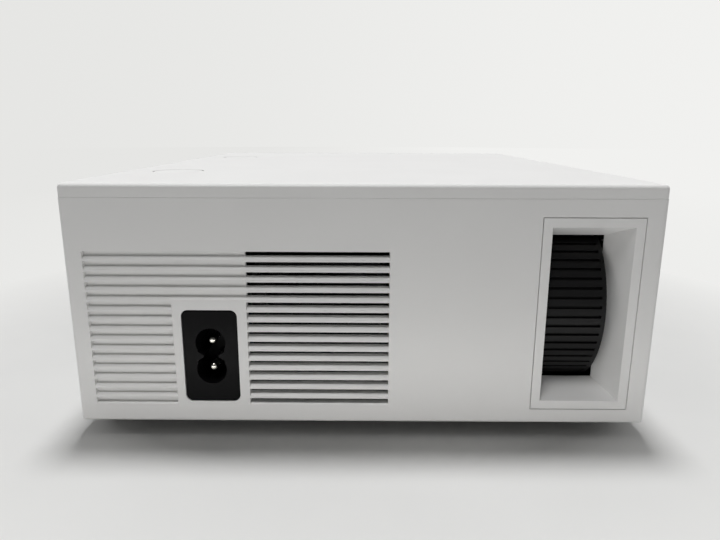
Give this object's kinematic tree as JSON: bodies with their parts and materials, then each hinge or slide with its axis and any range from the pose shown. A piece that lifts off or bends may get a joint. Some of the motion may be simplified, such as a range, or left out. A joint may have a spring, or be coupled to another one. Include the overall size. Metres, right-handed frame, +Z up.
{
  "type": "projector with built-in disc player",
  "caption": "White box-shaped home projector with louvred side, mains inlet, side focus ring window, front lens and a motorised disc tray.",
  "frame": {"origin": "on the surface that the feet stand on, under the middle of the case", "axes": "+X is the front with the lens and the disc tray, -Y the side with the louvres, mains inlet and focus window, +Z up"},
  "size_m": [0.174, 0.22, 0.0772],
  "materials": {
    "white_plastic": "satin white moulding",
    "black_gloss": "black, smooth",
    "black_plastic": "black, fine texture",
    "grey_plastic": "grey moulding",
    "cream_plastic": "natural moulding, greased",
    "pin_metal": "nickel plated",
    "steel": "plain",
    "screw_steel": "zinc",
    "brass": "plain",
    "aluminium": "extruded",
    "rubber": "matt black",
    "lens_glass": "coated",
    "dark_window": "dark, lets infrared through",
    "circuit_board": "solder resist",
    "lcd": "smooth",
    "led": "phosphor",
    "capacitor_sleeve": "shrunk sleeve"
  },
  "bodies": {
    "housing": {"lower_case": "white_plastic", "top_cover": "white_plastic", "front_panel": "white_plastic", "focus_window_frame": "white_plastic", "mains_inlet": "black_gloss", "port_panel": "black_gloss", "lens_bezel": "black_gloss", "lens_tube": "black_plastic", "engine_housing": "black_plastic", "fan_frame": "black_plastic", "audio_jacks": "black_plastic", "loader_chassis": "grey_plastic", "clamp_bridge": "grey_plastic", "speaker": "grey_plastic", "inlet_pins": "pin_metal", "hdmi_port": "steel", "usb_ports": "steel", "loading_motor": "steel", "case_screws": "screw_steel", "board_screws": "screw_steel", "loader_screws": "screw_steel", "tripod_insert": "brass", "heatsink": "aluminium", "processor_heatsink": "aluminium", "rubber_feet": "rubber", "belt": "rubber", "condenser_lens": "lens_glass", "heat_glass": "lens_glass", "rear_fresnel": "lens_glass", "front_fresnel": "lens_glass", "ir_window": "dark_window", "power_board": "circuit_board", "main_board": "circuit_board", "key_boards": "circuit_board", "lcd_panel": "lcd", "led_module": "led", "capacitors": "capacitor_sleeve", "transformer": "cream_plastic"},
    "tray": {"disc_tray": "black_plastic", "tray_bezel": "white_plastic"},
    "drive_gear": {"drive_gear": "cream_plastic"},
    "motor_pulley": {"motor_pulley": "cream_plastic"},
    "traverse": {"traverse_frame": "steel", "guide_rods": "steel", "spindle_motor": "steel", "feed_motor": "steel"},
    "cam_slider": {"cam_slider": "cream_plastic"},
    "turntable": {"turntable": "grey_plastic"},
    "pickup": {"pickup_sled": "black_plastic", "objective_lens": "lens_glass"},
    "feed_pinion": {"feed_pinion": "cream_plastic"},
    "clamper": {"clamper": "black_plastic"},
    "focus_ring": {"focus_ring": "black_plastic"},
    "lens": {"lens_barrel": "black_plastic", "front_lens": "lens_glass", "rear_lens": "lens_glass"},
    "fan_rotor": {"fan_rotor": "black_plastic"},
    "power_key": {"power_key": "white_plastic"},
    "eject_key": {"eject_key": "white_plastic"},
    "adjustable_foot": {"adjustable_foot": "black_plastic"}
  },
  "joints": [
    {"name": "tray_slide", "type": "slide", "parent": "housing", "child": "tray", "axis": [1, 0, 0], "range_m": [0, 0.126]},
    {"name": "drive_gear_spin", "type": "hinge", "parent": "housing", "child": "drive_gear", "pos_m": [0.071, -0.0136, 0.036], "axis": [0, 0, 1], "range_deg": [0, 826]},
    {"name": "motor_pulley_spin", "type": "hinge", "parent": "housing", "child": "motor_pulley", "pos_m": [0.071, 0.0184, 0.032], "axis": [0, 0, 1], "range_deg": [0, 2270]},
    {"name": "traverse_tilt", "type": "hinge", "parent": "housing", "child": "traverse", "pos_m": [-0.055, 0.028, 0.034], "axis": [0, -1, 0], "range_deg": [0, 5.8]},
    {"name": "cam_slide", "type": "slide", "parent": "housing", "child": "cam_slider", "axis": [0, -1, 0], "range_m": [0, 0.0141]},
    {"name": "turntable_spin", "type": "hinge", "parent": "traverse", "child": "turntable", "pos_m": [0.01564, 0.028, 0.02683], "axis": [0.1011, 0, 0.9949], "continuous": true},
    {"name": "pickup_slide", "type": "slide", "parent": "traverse", "child": "pickup", "axis": [-0.9949, 0, 0.1011], "range_m": [0, 0.034]},
    {"name": "feed_pinion_spin", "type": "hinge", "parent": "traverse", "child": "feed_pinion", "pos_m": [0.00071, -0.0016, 0.02834], "axis": [0.1011, 0, 0.9949], "range_deg": [0, 348]},
    {"name": "clamper_spin", "type": "hinge", "parent": "housing", "child": "clamper", "pos_m": [0.016, 0.028, 0.05], "axis": [0, 0, 1], "continuous": true},
    {"name": "focus_turn", "type": "hinge", "parent": "housing", "child": "focus_ring", "pos_m": [0.064, -0.0815, 0.038], "axis": [1, 0, 0], "range_deg": [-60, 60]},
    {"name": "focus_travel", "type": "slide", "parent": "housing", "child": "lens", "axis": [1, 0, 0], "range_m": [-0.004, 0.004]},
    {"name": "fan_spin", "type": "hinge", "parent": "housing", "child": "fan_rotor", "pos_m": [-0.01305, -0.1, 0.0337], "axis": [0, 1, 0], "continuous": true},
    {"name": "power_press", "type": "slide", "parent": "housing", "child": "power_key", "axis": [0, 0, -1], "range_m": [0, 0.0008], "stiffness_N_per_m": 600, "springref_m": -0.0008},
    {"name": "eject_press", "type": "slide", "parent": "housing", "child": "eject_key", "axis": [0, 0, -1], "range_m": [0, 0.0008], "stiffness_N_per_m": 600, "springref_m": -0.0008},
    {"name": "foot_extend", "type": "slide", "parent": "housing", "child": "adjustable_foot", "axis": [0, 0, -1], "range_m": [0, 0.012]}
  ],
  "couplings": [
    {"joint": "drive_gear_spin", "follows": "tray_slide", "rad_per_m": 114.29},
    {"joint": "motor_pulley_spin", "follows": "tray_slide", "rad_per_m": 314.29},
    {"joint": "cam_slide", "follows": "traverse_tilt", "m_per_rad": 0.1383},
    {"joint": "feed_pinion_spin", "follows": "pickup_slide", "rad_per_m": 178.57},
    {"joint": "focus_travel", "follows": "focus_turn", "m_per_rad": 0.0038}
  ]
}
